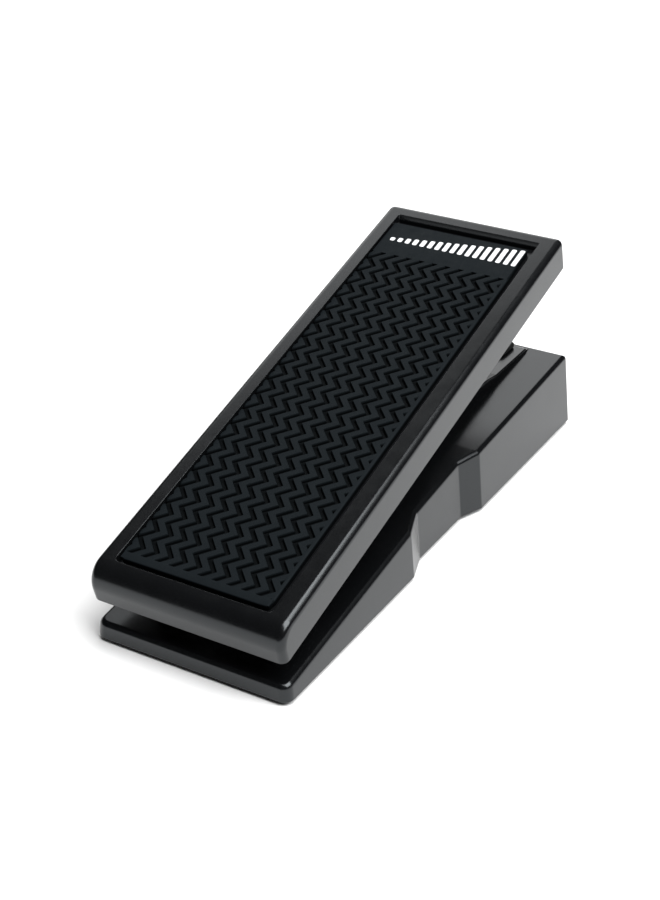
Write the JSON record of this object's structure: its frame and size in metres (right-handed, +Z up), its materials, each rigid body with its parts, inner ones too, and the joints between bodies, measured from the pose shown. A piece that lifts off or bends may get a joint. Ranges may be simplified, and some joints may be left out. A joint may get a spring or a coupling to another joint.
{
  "type": "expression pedal",
  "caption": "Rocking foot pedal: a ribbed rubber-topped treadle pivots on a wedge base and drives a geared potentiometer, with jack socket, range knob and polarity switch.",
  "frame": {"origin": "on the floor under the middle of the whole pedal", "axes": "+Y runs from heel to toe, +Z up, +X to the right as the player's foot points"},
  "size_m": [0.0924, 0.2758, 0.1066],
  "materials": {
    "housing_plastic": "satin black injection-moulded plastic with a fine grain",
    "tread_rubber": "matte blue-black moulded rubber",
    "stop_rubber": "matte black rubber",
    "bright_steel": "bright steel",
    "zinc_plate": "dull zinc-plated sheet steel",
    "bushing_brass": "turned brass",
    "gear_acetal": "off-white acetal",
    "board_green": "green solder resist",
    "component_black": "black moulded component",
    "ribbon_grey": "grey ribbon insulation"
  },
  "bodies": {
    "base": {"base_shell": "housing_plastic", "jack_socket": "housing_plastic", "foot_heel_left": "stop_rubber", "foot_heel_right": "stop_rubber", "foot_toe_left": "stop_rubber", "foot_toe_right": "stop_rubber", "heel_stop_left": "stop_rubber", "heel_stop_right": "stop_rubber", "toe_stop": "stop_rubber", "plate_screw_1": "bright_steel", "plate_screw_2": "bright_steel", "plate_screw_3": "bright_steel", "plate_screw_4": "bright_steel", "plate_screw_5": "bright_steel", "plate_screw_6": "bright_steel", "bracket_screw_heel": "bright_steel", "bracket_screw_toe": "bright_steel", "jack_washer": "bright_steel", "jack_nut": "bright_steel", "board_screw_1": "bright_steel", "board_screw_2": "bright_steel", "bottom_plate": "zinc_plate", "potentiometer_body": "zinc_plate", "potentiometer_nut": "zinc_plate", "potentiometer_bracket": "zinc_plate", "polarity_switch_housing": "zinc_plate", "range_potentiometer": "zinc_plate", "axle_bushing_left": "bushing_brass", "axle_bushing_right": "bushing_brass", "board_connector": "gear_acetal", "circuit_board": "board_green", "board_chip": "component_black", "board_capacitor": "component_black", "ribbon_cable": "ribbon_grey"},
    "treadle": {"treadle_shell": "housing_plastic", "tread_mat": "tread_rubber", "pivot_axle": "bright_steel", "axle_clip_left": "bright_steel", "axle_clip_right": "bright_steel", "sector_gear": "gear_acetal", "sector_pin": "bright_steel"},
    "pot_rotor": {"drive_pinion": "gear_acetal", "potentiometer_shaft": "bright_steel"},
    "range_knob": {"range_knob": "housing_plastic", "range_shaft": "bright_steel"},
    "polarity_slider": {"polarity_switch_slider": "housing_plastic"}
  },
  "joints": [
    {"name": "treadle_rock", "type": "hinge", "parent": "base", "child": "treadle", "pos_m": [0, 0, 0.059], "axis": [-1, 0, 0], "range_deg": [0, 23.4]},
    {"name": "pinion_spin", "type": "hinge", "parent": "base", "child": "pot_rotor", "pos_m": [0, 0, 0.0212], "axis": [-1, 0, 0], "range_deg": [-141, 0]},
    {"name": "range_knob_turn", "type": "hinge", "parent": "base", "child": "range_knob", "pos_m": [-0.0435, 0.0025, 0.0145], "axis": [-1, 0, 0], "range_deg": [0, 270]},
    {"name": "polarity_slide", "type": "slide", "parent": "base", "child": "polarity_slider", "axis": [1, 0, 0], "range_m": [0, 0.004]}
  ],
  "couplings": [
    {"joint": "pinion_spin", "follows": "treadle_rock", "ratio": -6}
  ]
}
